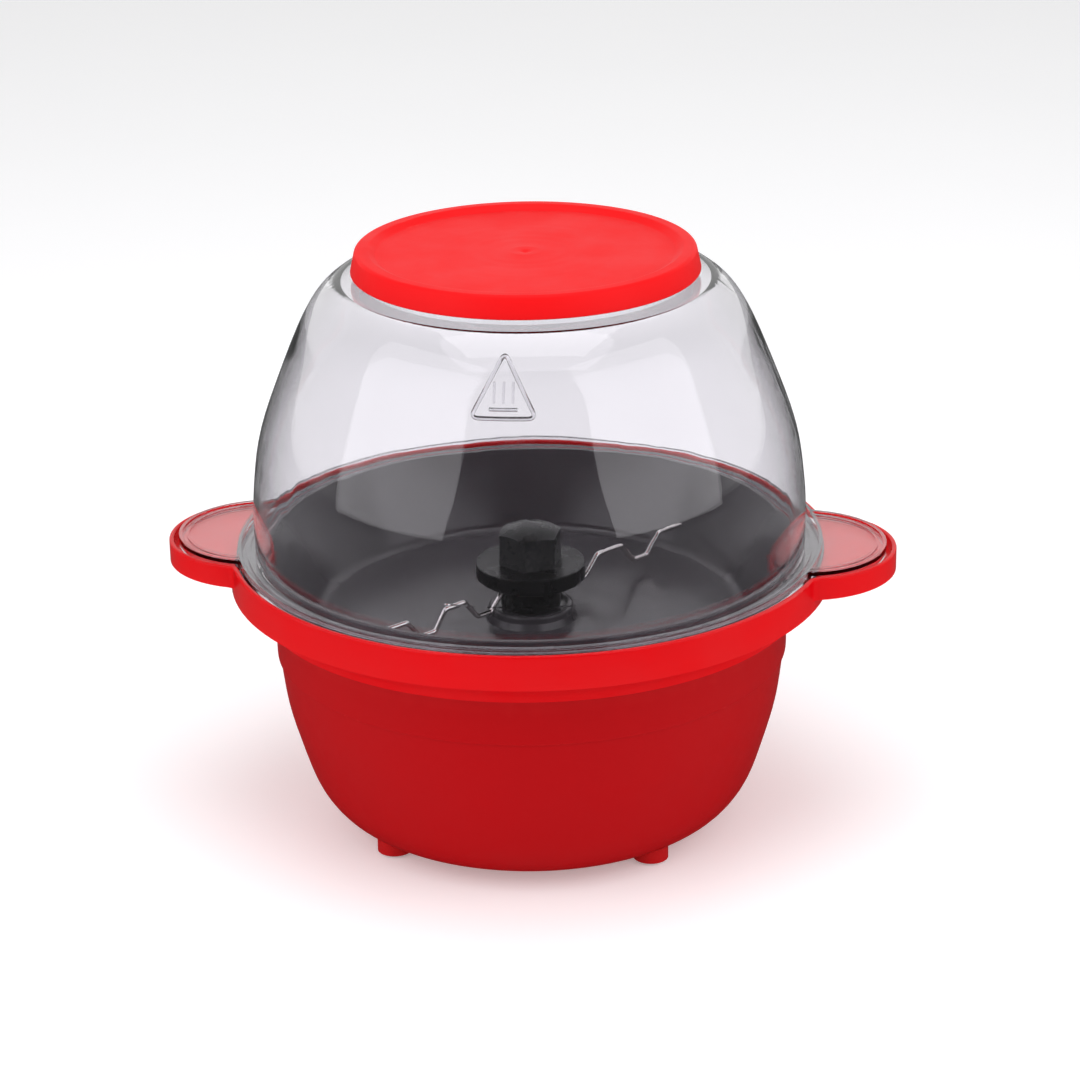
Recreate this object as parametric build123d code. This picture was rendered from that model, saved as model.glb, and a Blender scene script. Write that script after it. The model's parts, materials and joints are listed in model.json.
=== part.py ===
from build123d import *
import os
from math import acos, cos, pi, radians, sin, sqrt, tan

# Stirring popcorn maker. Millimetres, +Z up, origin on the table under the centre of the bowl.
# The two handles lie along X and the front faces -Y.

# ---- driving dimensions -------------------------------------------------------------------
RUNNING = 0.05            # radial play of a shaft in its bush
GAP = 0.3                 # play between separate moving bodies

# lower housing
HOUSING_WALL = 2.5
HOUSING_FLOOR_Z = 4.5
HOUSING_FLOOR_T = 3.5
HOUSING_TOP_Z = 119.0
HOUSING_R = 118.0         # widest, just under the rim ring
HOUSING_FLAT_R = 74.0     # flat underside
HOUSING_SIDE = [(93.0, 9.5), (101.5, 20.0), (107.2, 35.0), (111.6, 50.0), (115.2, 68.0), (117.4, 84.0)]
HOUSING_STRAIGHT_Z = 98.0 # the wall is upright from here up

# rim ring with its two handles
RIM_R = 137.5
RIM_WALL = 2.4
RIM_TOP_Z = 132.6
RIM_SKIRT_Z = 116.9
LEDGE_Z = 127.6
LEDGE_T = 2.0
LEDGE_IN_R = 119.6
BAND_R = (127.0, 125.5)   # two stepped bands under the skirt
BAND_Z = (109.9, 106.3)
BAND_WALL = 2.4
HANDLE_X = 124.5          # centre of each round handle
HANDLE_R = 43.0
HANDLE_WALL = 2.2
HANDLE_SKIRT_Z = 122.2
HANDLE_FILLET = 5.0
RIM_FILLET = 0.9

# feet, and the clamp rods above them
FOOT_PITCH_R = 83.0
FOOT_R = 8.0
FOOT_ANGLES = {"back_right": 45, "back_left": 135, "front_left": 225, "front_right": 315}
PAD_R = 6.0
PAD_Z = 1.2               # underside of the moulded foot
PAD_PLUG_R = 5.0
PAD_PLUG_Z = 2.6
ROD_R = 4.0
FOOT_SEAT_Z = 4.2         # seat of the screw head inside the foot

# pan
PAN_RIM_R = 120.0
PAN_RIM_Z = 133.5
PAN_BEAD_R = 122.6        # outside of the raised bead round the rim
PAN_BEAD_FILLET = 0.8
PAN_FLANGE_R = 134.6      # flat flange outside the bead, which the dome stands on
PAN_FLANGE_T = 1.2
GASKET_R = (124.0, 133.0)
GASKET_T = 0.6
PAN_CREASE = (114.5, 125.2)
PAN_CORNER = (98.0, 98.5)
PAN_CENTRE_Z = 95.0
PAN_WALL = 1.9
PAN_BASE_Z = 92.5         # flat underside of the cast floor
PAN_BASE_R = 92.0
BOSS_FOOT_R = 21.4
BOSS_R = 19.8
BOSS_Z = 101.4
BOSS_WELL_R = 17.4
BOSS_WELL_Z = 99.6
BUSH_R = 7.0

# stirrer
SHAFT_R = 4.0
SHAFT_SHOULDER_Z = 100.6
SHAFT_TOP_Z = 110.0
DRIVE_FLAT = 5.6          # across flats of the square drive
HUB_R = 13.8
HUB_Z = 100.9
FLANGE_R = 25.2
FLANGE_Z = (114.1, 121.3)
KNOB_R = 15.1             # across the corners, halved
KNOB_CORNER_Z = 135.3
KNOB_TOP_Z = 138.1
KNOB_TURN = 23.2
STUD_R = 5.0
STUD_TOP_Z = 130.0
WIRE_R = 1.2
WIRE_HIGH_Z = 112.6
WIRE_LOW_Z = 103.6
WIRE_BEND = 2.2
WIRE_TURN = 47.5          # direction of the wire, from +X
WIRE_BENDS = [17.0, 25.0, 34.0, 42.6, 58.0, 66.0, 75.0, 83.0]
WIRE_BENDS_SHORT = [17.0, 24.6, 32.8, 40.3, 52.0, 58.4, 66.5, 74.5]
WIRE_END = 97.0
WIRE_END_SHORT = 86.5

# dome
DOME_WALL = 2.4
DOME_BASE_R = 126.0
DOME_SIDE = [(126.0, 150.0), (124.9, 166.0), (122.6, 182.0), (118.3, 197.0), (112.6, 212.0),
             (106.1, 228.0), (99.0, 243.0), (87.5, 256.6)]
SHOULDER_Z = 258.4
DOME_SHOULDER_R = 83.5
DOME_FOOT_Z = 129.7
FLANGE_PLATE_T = 2.0
LIP_R = 133.9
LIP_T = 1.6
LIP_TOP_Z = 135.0
STEP_R = (128.2, 129.4)
STEP_TOP_Z = 132.8
TAB_R = 38.4
TAB_Z = (131.6, 133.4)
TAB_BORDER_Z = 134.6
TAB_RIDGE_R = (33.6, 34.6)
TAB_RIDGE_Z = 134.2
NECK_R = 73.9
NECK_WALL = 2.2
NECK_TOP_Z = 268.1
BEAD_Z = 265.0
BEAD_R = 0.5
VENT_COUNT = 6
VENT_R = (24.0, 38.0, 52.0)
VENT_WIDTH = 3.0

# cap
CAP_R = 78.2
CAP_TOP_R = 75.6
CAP_Z = 261.6
CAP_TOP_Z = 271.8
CAP_WALL = 1.8
CAP_PANEL_R = 66.0
CAP_PANEL_Z = 270.2
CAP_DIMPLE_R = 4.2

# heater
ELEMENT_PITCH_R = 62.0
ELEMENT_R = 3.5
ELEMENT_GAP_ANGLE = 30.0
COLD_PIN_R = 1.6
COLD_PIN_LENGTH = 14.0
SHIELD_Z = 77.0
SHIELD_T = 0.8
SHIELD_R = 72.0

# gear motor, hung under the pan
MOTOR_R = 31.0
MOTOR_SHEET = 1.0
MOTOR_Z = (38.0, 70.0)    # underside of the can, underside of the top plate
MOTOR_PLATE_T = 1.6
STANDOFF_PITCH_R = 37.0
STANDOFF_R = 3.5
STANDOFF_ANGLES = (30, 150, 270)
POLE_R = (14.6, 16.2)
BOBBIN_R = (16.4, 29.4)
BOBBIN_Z = (40.0, 51.5)
COIL_R = (18.0, 28.6)
ROTOR_R = 14.0
ROTOR_Z = (40.5, 51.0)
GEAR_PLATE_Z = 53.0
GEAR_MODULE = 0.5
PRESSURE_ANGLE = 25.0
PINION_TEETH = 12
WHEEL_TEETH = 48
GEAR_THINNING = 0.05      # backlash taken off each tooth
GEAR_AXIS_X = GEAR_MODULE * (PINION_TEETH + WHEEL_TEETH) / 2 + 0.04
LOWER_MESH_Z = (55.0, 58.6)
UPPER_MESH_Z = (60.0, 64.4)
PIN_R = 1.0

# electrics
BLOCK_CENTRE = (0.0, 61.0)
BLOCK_SIZE = (40.0, 16.0, 13.0)
GLAND_Z = 26.0
GLAND_Y = (93.0, 108.5)    # inner and outer end of the grommet
GLAND_BORE_R = 3.6
GLAND_NOSE_R = 6.0
GLAND_BARREL_R = 8.0
GLAND_FLANGE_R = 10.5
GLAND_FLANGE_T = 1.6
LEAD_R = 1.1
LEAD_BEND = 5.0

# base cover
COVER_R = 62.0
COVER_OPENING_R = 50.0
COVER_T = 2.0
COVER_SCREW_R = 56.0
COVER_SCREW_ANGLES = (45, 135, 225, 315)


# ---- helpers ------------------------------------------------------------------------------
def disc(radius, low, high):
    """Solid cylinder on the Z axis between two heights."""
    return Pos(0, 0, low) * extrude(Circle(radius), high - low)


def tube(inner, outer, low, high):
    """Ring with a straight bore, on the Z axis."""
    return disc(outer, low, high) - disc(inner, low - 1, high + 1)


def slab(sketch, low, high):
    """A flat outline drawn in XY, raised between two heights."""
    return Pos(0, 0, low) * extrude(sketch, high - low)


def turned(edges):
    """Solid of revolution from a closed profile in (radius, height)."""
    return revolve(Plane.XZ * make_face(edges), Axis.Z)


def turned_outline(*points):
    return turned(Polyline(*points, close=True))


def polar(radius, angle):
    return radius * cos(radians(angle)), radius * sin(radians(angle))


def at_polar(shape, radius, angle):
    """A copy of a shape built on the Z axis, moved out along a direction."""
    return Pos(*polar(radius, angle), 0) * shape


def round_bar(points, bend, radius):
    """A bar of round section along straight runs joined by arcs."""
    path = FilletPolyline(*points, radius=bend)
    return sweep(Plane(path @ 0, z_dir=path % 0) * Circle(radius), path)


def screw(radius, head_radius, head_height, low, high, head_below):
    """Cheese-head screw on the Z axis, with its head at the lower or the upper end."""
    shank = disc(radius, low, high)
    if head_below:
        return shank + disc(head_radius, low - head_height, low)
    return shank + disc(head_radius, high, high + head_height)


def lobed(radius, lobe_radius, fillet_radius):
    """Circle with a round lobe at each end of the X axis, blended at the four corners."""
    lobes = Pos(HANDLE_X, 0) * Circle(lobe_radius) + Pos(-HANDLE_X, 0) * Circle(lobe_radius)
    outline = Circle(radius) + lobes
    corners = [v for v in outline.vertices() if abs(abs(Vector(v).length) - radius) < 0.01]
    corners = [v for v in corners if abs(v.Y) > lobe_radius / 2]
    return fillet(corners, fillet_radius)


def group(*shapes):
    return Compound(children=list(shapes))


def save(name, shape):
    export_step(shape, os.path.join("parts", name + ".step"))


# ---- lower housing and what stands it up --------------------------------------------------
def housing_envelope(inset, low):
    """Bowl-shaped solid of the housing, taken in by an inset."""
    side = [(r - inset, z + (inset if z < 15 else 0)) for r, z in HOUSING_SIDE]
    flat = (HOUSING_FLAT_R - inset, low)
    bottom = Line((0, low), flat)
    curve = Spline([flat] + side + [(HOUSING_R - inset, HOUSING_STRAIGHT_Z)],
                   tangents=[(1, 0), (0, 1)])
    wall = Line(curve @ 1, (HOUSING_R - inset, HOUSING_TOP_Z))
    top = Line(wall @ 1, (0, HOUSING_TOP_Z))
    axis = Line((0, HOUSING_TOP_Z), (0, low))
    return turned(bottom + curve + wall + top + axis)


def clamp_bosses(radius, low, high):
    return [at_polar(disc(radius, low, high), FOOT_PITCH_R, a) for a in FOOT_ANGLES.values()]


def lower_housing():
    floor_top = HOUSING_FLOOR_Z + HOUSING_FLOOR_T
    body = housing_envelope(0, HOUSING_FLOOR_Z) - housing_envelope(HOUSING_WALL, floor_top)
    for a in FOOT_ANGLES.values():
        body += at_polar(disc(ROD_R + 2, floor_top - 1, floor_top + 4), FOOT_PITCH_R, a)
    for a in COVER_SCREW_ANGLES:
        body += at_polar(disc(3.6, floor_top - 1, floor_top + 8), COVER_SCREW_R, a)
    body -= disc(COVER_OPENING_R, 0, floor_top + 1)
    body -= disc(COVER_R + GAP, 0, HOUSING_FLOOR_Z + COVER_T)
    for a in COVER_SCREW_ANGLES:
        body -= at_polar(disc(1.4, 0, floor_top + 7), COVER_SCREW_R, a)
    for a in FOOT_ANGLES.values():
        body -= at_polar(disc(2.2, 0, floor_top + 5), FOOT_PITCH_R, a)
    return body - along_y(GLAND_BARREL_R, GLAND_Y[0] - 5, HOUSING_R + 5, GLAND_Z)


def foot():
    """Moulded foot, cut to the curve of the housing, hollow for its screw and pad."""
    body = disc(FOOT_R, PAD_Z, 14) - disc(PAD_PLUG_R, 0, PAD_PLUG_Z) - disc(2.2, 0, 20)
    return body - disc(4.2, 0, FOOT_SEAT_Z)


def feet():
    envelope = housing_envelope(-0.05, HOUSING_FLOOR_Z - 0.05)
    for name, angle in FOOT_ANGLES.items():
        save("foot_" + name, at_polar(foot(), FOOT_PITCH_R, angle) - envelope)
        pad = disc(PAD_R, 0, PAD_Z) + disc(PAD_PLUG_R, PAD_Z, PAD_PLUG_Z)
        pad = fillet(pad.edges().group_by(Axis.Z)[0], 0.5)
        save("foot_pad_" + name, at_polar(pad, FOOT_PITCH_R, angle))


def clamp_screws():
    one = screw(1.95, 3.9, FOOT_SEAT_Z - PAD_PLUG_Z, FOOT_SEAT_Z, FOOT_SEAT_Z + 16, True)
    return group(*[at_polar(one, FOOT_PITCH_R, a) for a in FOOT_ANGLES.values()])


def clamp_rods():
    """Long hexagonal spacers that tie the pan down onto the rim ring and the housing."""
    low = HOUSING_FLOOR_Z + HOUSING_FLOOR_T + 4
    body = slab(RegularPolygon(ROD_R, 6), low, PAN_BASE_Z) - disc(1.95, 0, low + 12)
    return group(*[at_polar(body, FOOT_PITCH_R, a) for a in FOOT_ANGLES.values()])


def base_cover():
    top = HOUSING_FLOOR_Z + COVER_T
    body = disc(COVER_R, HOUSING_FLOOR_Z, top)
    slots = Sketch()
    for ring_index in range(3):
        radius = 16 + 10 * ring_index
        for k in range(4):
            arc = CenterArc((0, 0), radius, 90 * k + 12, 66)
            slots += SlotArc(arc, 3.0)
    body -= Pos(0, 0, HOUSING_FLOOR_Z - 1) * extrude(slots, COVER_T + 2)
    for a in COVER_SCREW_ANGLES:
        body -= at_polar(disc(1.7, 0, top + 1), COVER_SCREW_R, a)
    rib = tube(45, 46.5, top, top + 3)
    return body + rib


def cover_screws():
    one = screw(1.35, 2.8, 1.6, HOUSING_FLOOR_Z, HOUSING_FLOOR_Z + 9, True)
    return group(*[at_polar(one, COVER_SCREW_R, a) for a in COVER_SCREW_ANGLES])


# ---- rim ring -----------------------------------------------------------------------------
def rim_ring():
    outer = lobed(RIM_R, HANDLE_R, HANDLE_FILLET)
    inner = lobed(RIM_R - RIM_WALL, HANDLE_R - HANDLE_WALL, HANDLE_FILLET)
    under = LEDGE_Z - LEDGE_T
    wall = slab(outer, HANDLE_SKIRT_Z, RIM_TOP_Z) - slab(inner, HANDLE_SKIRT_Z - 1, RIM_TOP_Z + 1)
    wall = fillet(wall.edges().group_by(Axis.Z)[-1], RIM_FILLET)
    skirt = tube(RIM_R - RIM_WALL, RIM_R, RIM_SKIRT_Z, under)
    ledge = slab(inner, under, LEDGE_Z) - disc(LEDGE_IN_R, under - 1, LEDGE_Z + 1)
    band_in = [r - BAND_WALL for r in BAND_R]
    shelf_in = HOUSING_R + GAP
    bands = turned_outline(
        (band_in[0], under), (BAND_R[0], under), (BAND_R[0], BAND_Z[0]), (BAND_R[1], BAND_Z[0]),
        (BAND_R[1], BAND_Z[1]), (shelf_in, BAND_Z[1]), (shelf_in, BAND_Z[1] + BAND_WALL),
        (band_in[1], BAND_Z[1] + BAND_WALL), (band_in[1], BAND_Z[0] + 1), (band_in[0], BAND_Z[0] + 3))
    rest = tube(HOUSING_R - HOUSING_WALL + 0.5, HOUSING_R + 3, HOUSING_TOP_Z, under)
    body = wall + skirt + ledge + bands
    for k in range(24):
        rib = Pos(122, 0, (HOUSING_TOP_Z + under) / 2) * Box(6, 1.6, under - HOUSING_TOP_Z)
        body += Rot(0, 0, 15 * k + 7.5) * rib
    return body + rest - disc(LEDGE_IN_R - 1.4, HOUSING_TOP_Z - 1, under + 1)


# ---- pan and heater -----------------------------------------------------------------------
def circles_at(body, radius, height):
    """Circular edges of a given radius and height."""
    circles = body.edges().filter_by(GeomType.CIRCLE)
    return [e for e in circles if abs(e.radius - radius) < 0.01 and abs(e.center().Z - height) < 0.01]


def heating_pan():
    """Cast pan: floor, sloping wall, raised bead, and a flat flange that rests on the rim ring."""
    flange_low = LEDGE_Z + GASKET_T
    flange_top = flange_low + PAN_FLANGE_T
    crease_r, crease_z = PAN_CREASE
    corner_r, corner_z = PAN_CORNER
    steep = (PAN_RIM_R - crease_r) / (PAN_RIM_Z - crease_z)
    wall_at_flange = crease_r + steep * (flange_low - crease_z) + PAN_WALL
    body = turned_outline(
        (BUSH_R, PAN_BASE_Z), (PAN_BASE_R, PAN_BASE_Z), (corner_r + PAN_WALL + 0.6, corner_z - 1.5),
        (crease_r + PAN_WALL, crease_z - 0.8), (wall_at_flange, flange_low),
        (PAN_FLANGE_R, flange_low), (PAN_FLANGE_R, flange_top), (PAN_BEAD_R, flange_top),
        (PAN_BEAD_R, PAN_RIM_Z), (PAN_RIM_R, PAN_RIM_Z),
        PAN_CREASE, PAN_CORNER, (BOSS_FOOT_R, PAN_CENTRE_Z), (BOSS_R, PAN_CENTRE_Z + 3),
        (BOSS_R, BOSS_Z), (BOSS_WELL_R, BOSS_Z), (BOSS_WELL_R, BOSS_WELL_Z), (BUSH_R, BOSS_WELL_Z))
    body = fillet(circles_at(body, corner_r, corner_z), 6.0)
    bead = circles_at(body, PAN_BEAD_R, PAN_RIM_Z) + circles_at(body, PAN_RIM_R, PAN_RIM_Z)
    body = fillet(bead, PAN_BEAD_FILLET)
    return fillet(circles_at(body, BOSS_R, BOSS_Z), 1.4)


def pan_gasket():
    return tube(*GASKET_R, LEDGE_Z, LEDGE_Z + GASKET_T)


def pin_places():
    """Where the two cold pins of the heater stand, right one first."""
    return [polar(ELEMENT_PITCH_R, 90 + side * (ELEMENT_GAP_ANGLE / 2 + 3)) for side in (-1, 1)]


def heating_element():
    """Tubular ring heater brazed under the pan, open at the back, with two cold pins down."""
    z = PAN_BASE_Z - ELEMENT_R
    half_gap = ELEMENT_GAP_ANGLE / 2
    arc = CenterArc((0, 0, z), ELEMENT_PITCH_R, 90 + half_gap, 360 - ELEMENT_GAP_ANGLE)
    body = sweep(Plane(arc @ 0, z_dir=arc % 0) * Circle(ELEMENT_R), arc)
    for x, y in pin_places():
        body += Pos(x, y, z - COLD_PIN_LENGTH) * extrude(Circle(COLD_PIN_R), COLD_PIN_LENGTH)
    return body


def heat_shield():
    plate = disc(SHIELD_R, SHIELD_Z, SHIELD_Z + SHIELD_T)
    rim = tube(SHIELD_R - SHIELD_T, SHIELD_R, SHIELD_Z, SHIELD_Z + 5)
    body = plate + rim - disc(9, 0, 200)
    for a in STANDOFF_ANGLES:
        body -= at_polar(disc(STANDOFF_R, 0, 200), STANDOFF_PITCH_R, a)
    notch = Pos(0, ELEMENT_PITCH_R, SHIELD_Z) * Box(50, 12, 4)
    thermostat_hole = Pos(*THERMOSTAT_PLACE, SHIELD_Z) * Cylinder(11, 6)
    return body - notch - thermostat_hole


THERMOSTAT_ANGLE = 215
THERMOSTAT_PLACE = polar(40, THERMOSTAT_ANGLE)
FUSE_PLACE = polar(36, 300)


def thermostat():
    x, y = THERMOSTAT_PLACE
    body = disc(8.0, PAN_BASE_Z - 4, PAN_BASE_Z) + disc(6.6, PAN_BASE_Z - 11, PAN_BASE_Z - 4)
    tabs = [Pos(side * 4, 0, PAN_BASE_Z - 14) * Box(0.8, 4, 6) for side in (-1, 1)]
    return Pos(x, y, 0) * (body + tabs[0] + tabs[1])


def thermostat_bracket():
    """Sheet strap that presses the thermostat against the pan."""
    x, y = THERMOSTAT_PLACE
    width = 17
    strap = Pos(0, 0, PAN_BASE_Z - 4.5) * Box(32, width, 1)
    for side in (-1, 1):
        strap += Pos(side * 15.5, 0, PAN_BASE_Z - 2.5) * Box(1, width, 5)
        strap += Pos(side * 18.5, 0, PAN_BASE_Z - 0.5) * Box(7, width, 1)
    return Pos(x, y, 0) * Rot(0, 0, THERMOSTAT_ANGLE + 90) * (strap - disc(6.6, 0, 200))


def thermal_fuse():
    x, y = FUSE_PLACE
    body = Rot(0, 90, 0) * Cylinder(2.2, 12)
    return Pos(x, y, PAN_BASE_Z - 2.2) * (body + Rot(0, 90, 0) * Cylinder(0.6, 24))


def pan_bush():
    bore = SHAFT_R + RUNNING
    body = tube(bore, BUSH_R, PAN_BASE_Z - 5, BOSS_WELL_Z - 3)
    return body + tube(bore, BUSH_R + 3, PAN_BASE_Z - 5, PAN_BASE_Z)


def shaft_seal():
    low = BOSS_WELL_Z - 3
    body = tube(SHAFT_R + RUNNING, BUSH_R, low, BOSS_WELL_Z)
    return body + tube(SHAFT_R + RUNNING, BUSH_R + 3, BOSS_WELL_Z, BOSS_WELL_Z + 0.7)


# ---- gear motor ---------------------------------------------------------------------------
def involute_point(base, roll):
    return base * sqrt(1 + roll * roll), roll - acos(1 / sqrt(1 + roll * roll))


def gear_outline(teeth):
    """Spur gear outline with involute flanks, one tooth pointing along +X."""
    pitch = GEAR_MODULE * teeth / 2
    base = pitch * cos(radians(PRESSURE_ANGLE))
    tip = pitch + 0.95 * GEAR_MODULE
    root = pitch - 1.25 * GEAR_MODULE
    involute_at_pitch = tan(radians(PRESSURE_ANGLE)) - radians(PRESSURE_ANGLE)
    half_tooth = pi / (2 * teeth) - GEAR_THINNING / (2 * pitch)
    start = sqrt(max((root / base) ** 2 - 1, 0))
    end = sqrt((tip / base) ** 2 - 1)
    steps = 5
    flank = [involute_point(base, start + (end - start) * k / steps) for k in range(steps + 1)]
    flank = [(r, half_tooth + involute_at_pitch - turn) for r, turn in flank]
    if root < base:
        flank = [(root, flank[0][1])] + flank
    points = []
    for tooth in range(teeth):
        centre = 2 * pi * tooth / teeth
        points += [(r * cos(centre - a), r * sin(centre - a)) for r, a in flank]
        points += [(r * cos(centre + a), r * sin(centre + a)) for r, a in reversed(flank)]
    return make_face(Polyline(*points, close=True))


def gear(teeth, low, high, bore):
    return slab(gear_outline(teeth), low, high) - disc(bore, low - 1, high + 1)


def motor_can():
    low, high = MOTOR_Z
    body = disc(MOTOR_R, low, high) - disc(MOTOR_R - MOTOR_SHEET, low + MOTOR_SHEET, high + 1)
    wire_exit = Pos(0, MOTOR_R, BOBBIN_Z[0] + 5) * Box(8, 8, 5)
    return fillet(body.edges().group_by(Axis.Z)[0], 0.8) - wire_exit


def motor_plate():
    """Top plate of the gear motor, with three ears and the outlet for the shaft."""
    low = MOTOR_Z[1]
    high = low + MOTOR_PLATE_T
    outline = Circle(MOTOR_R)
    for a in STANDOFF_ANGLES:
        x, y = polar(STANDOFF_PITCH_R, a)
        outline += Pos(x, y) * Circle(5.5)
        outline += Rot(0, 0, a) * Pos(STANDOFF_PITCH_R / 2 + 8, 0) * Rectangle(STANDOFF_PITCH_R - 16, 11)
    plate = slab(outline, low, high) - disc(SHAFT_R + 4, 0, 200)
    collar = tube(SHAFT_R + RUNNING, SHAFT_R + 4, low - 3, high + 3)
    plate -= at_polar(disc(PIN_R, 0, 200), GEAR_AXIS_X, 0)
    for a in STANDOFF_ANGLES:
        plate -= at_polar(disc(1.7, 0, 200), STANDOFF_PITCH_R, a)
    return plate + collar


def motor_standoffs():
    low = MOTOR_Z[1] + MOTOR_PLATE_T
    one = disc(STANDOFF_R, low, PAN_BASE_Z) - disc(1.5, low - 1, low + 10)
    return group(*[at_polar(one, STANDOFF_PITCH_R, a) for a in STANDOFF_ANGLES])


def motor_screws():
    low = MOTOR_Z[1]
    one = screw(1.5, 3.0, 2.0, low, low + 9, True)
    return group(*[at_polar(one, STANDOFF_PITCH_R, a) for a in STANDOFF_ANGLES])


def coil_bobbin():
    low, high = BOBBIN_Z
    inner, outer = BOBBIN_R
    return turned_outline((inner, low), (outer, low), (outer, low + 0.8), (COIL_R[0], low + 0.8),
                          (COIL_R[0], high - 0.8), (outer, high - 0.8), (outer, high), (inner, high))


def motor_coil():
    return tube(*COIL_R, BOBBIN_Z[0] + 0.8, BOBBIN_Z[1] - 0.8)


def stator_poles():
    """Ring of claw poles: teeth from the top and the bottom, in turn, with gaps between."""
    low, high = BOBBIN_Z
    claws = 12
    body = tube(*POLE_R, low, low + 1) + tube(POLE_R[0], BOBBIN_R[1], high, high + 0.8)
    claw = Pos((POLE_R[0] + POLE_R[1]) / 2, 0, 0)
    lower = claw * Pos(0, 0, low + 5) * Box(1.2, 2.6, 10)
    upper = claw * Pos(0, 0, high - 4.5) * Box(1.2, 2.6, 10)
    for k in range(claws):
        body += Rot(0, 0, 360 * k / claws) * upper
    for k in range(claws):
        body += Rot(0, 0, 360 * (k + 0.5) / claws) * lower
    return group(*body.solids())


def gear_plate():
    body = disc(MOTOR_R - MOTOR_SHEET, GEAR_PLATE_Z, GEAR_PLATE_Z + 0.8) - disc(4.5, 0, 200)
    return body - at_polar(disc(PIN_R, 0, 200), GEAR_AXIS_X, 0)


def rotor_pin():
    return disc(PIN_R, MOTOR_Z[0] + MOTOR_SHEET, UPPER_MESH_Z[0] - 0.6)


def idler_pin():
    return at_polar(disc(PIN_R, GEAR_PLATE_Z, MOTOR_Z[1] + MOTOR_PLATE_T), GEAR_AXIS_X, 0)


def rotor_magnet():
    low, high = ROTOR_Z
    ring = tube(ROTOR_R - 3, ROTOR_R, low, high)
    web = tube(2.2, ROTOR_R - 3, low + 3, high - 3)
    return ring + web


def rotor_pinion():
    """Plastic core of the rotor with its pinion on top."""
    bore = PIN_R + RUNNING
    core = tube(bore, 2.2, ROTOR_Z[0], LOWER_MESH_Z[0])
    return core + gear(PINION_TEETH, LOWER_MESH_Z[0], LOWER_MESH_Z[1], bore)


def idler_gear():
    """Large wheel driven by the rotor, with the pinion that drives the output gear."""
    bore = PIN_R + RUNNING
    half_pitch_wheel = 180 / WHEEL_TEETH
    half_pitch_pinion = 180 / PINION_TEETH
    wheel = Rot(0, 0, half_pitch_wheel) * gear(WHEEL_TEETH, *LOWER_MESH_Z, bore)
    collar = tube(bore, 2.2, LOWER_MESH_Z[1], UPPER_MESH_Z[0])
    pinion = Rot(0, 0, half_pitch_pinion) * gear(PINION_TEETH, *UPPER_MESH_Z, bore)
    return at_polar(wheel + collar + pinion, GEAR_AXIS_X, 0)


def output_gear():
    return gear(WHEEL_TEETH, *UPPER_MESH_Z, SHAFT_R)


def drive_shaft():
    """Shaft from the output gear up through the pan, with a square drive on top."""
    low = UPPER_MESH_Z[0]
    body = disc(SHAFT_R, low, SHAFT_SHOULDER_Z)
    body += slab(Rectangle(DRIVE_FLAT, DRIVE_FLAT), SHAFT_SHOULDER_Z, SHAFT_TOP_Z)
    groove_z = PAN_BASE_Z - 6.3
    body = chamfer(body.edges().group_by(Axis.Z)[-1], 0.6)
    return body - tube(SHAFT_R - 0.8, SHAFT_R + 1, groove_z, groove_z + 1)


def shaft_clip():
    low = PAN_BASE_Z - 6.3
    ring = tube(SHAFT_R - 0.8, SHAFT_R + 3, low, low + 0.9)
    return ring - Pos(SHAFT_R + 2, 0, low) * Box(8, 4, 6)


# ---- electrics ----------------------------------------------------------------------------
def terminal_block():
    x, y = BLOCK_CENTRE
    low = HOUSING_FLOOR_Z + HOUSING_FLOOR_T
    length, depth, height = BLOCK_SIZE
    body = Pos(0, 0, low + height / 2) * Box(length, depth, height)
    body = fillet(body.edges().filter_by(Axis.Z), 2)
    for k in (-1, 0, 1):
        well = Pos(12 * k, 0, low + height - 3) * Cylinder(2.6, 6.02)
        hole = Pos(12 * k, 0, low + 4.5) * Rot(90, 0, 0) * Cylinder(1.6, depth + 2)
        body = body - well - hole
    return Pos(x, y, 0) * body


def terminal_screws():
    x, y = BLOCK_CENTRE
    low = HOUSING_FLOOR_Z + HOUSING_FLOOR_T + BLOCK_SIZE[2] - 6
    one = disc(2.5, low, low + 3) - Pos(0, 0, low + 3) * Box(6, 0.7, 1.6)
    return group(*[Pos(x + 12 * k, y, 0) * one for k in (-1, 0, 1)])


def along_y(radius, start, end, height):
    """Solid cylinder along Y at a height, in the plane of symmetry."""
    middle = (start + end) / 2
    return Pos(0, middle, height) * Rot(90, 0, 0) * Cylinder(radius, end - start)


def cord_gland():
    """Grommet in the back wall, with a flange that hugs the wall and the outlet for the mains lead."""
    start, end = GLAND_Y
    skin = housing_envelope(-GLAND_FLANGE_T, HOUSING_FLOOR_Z)
    barrel = along_y(GLAND_BARREL_R, start, HOUSING_R, GLAND_Z) & skin
    flange = along_y(GLAND_FLANGE_R, start, HOUSING_R, GLAND_Z) & skin
    flange -= housing_envelope(0, HOUSING_FLOOR_Z)
    nose = along_y(GLAND_NOSE_R, start, end, GLAND_Z)
    return barrel + flange + nose - along_y(GLAND_BORE_R, start - 1, end + 1, GLAND_Z)


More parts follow.
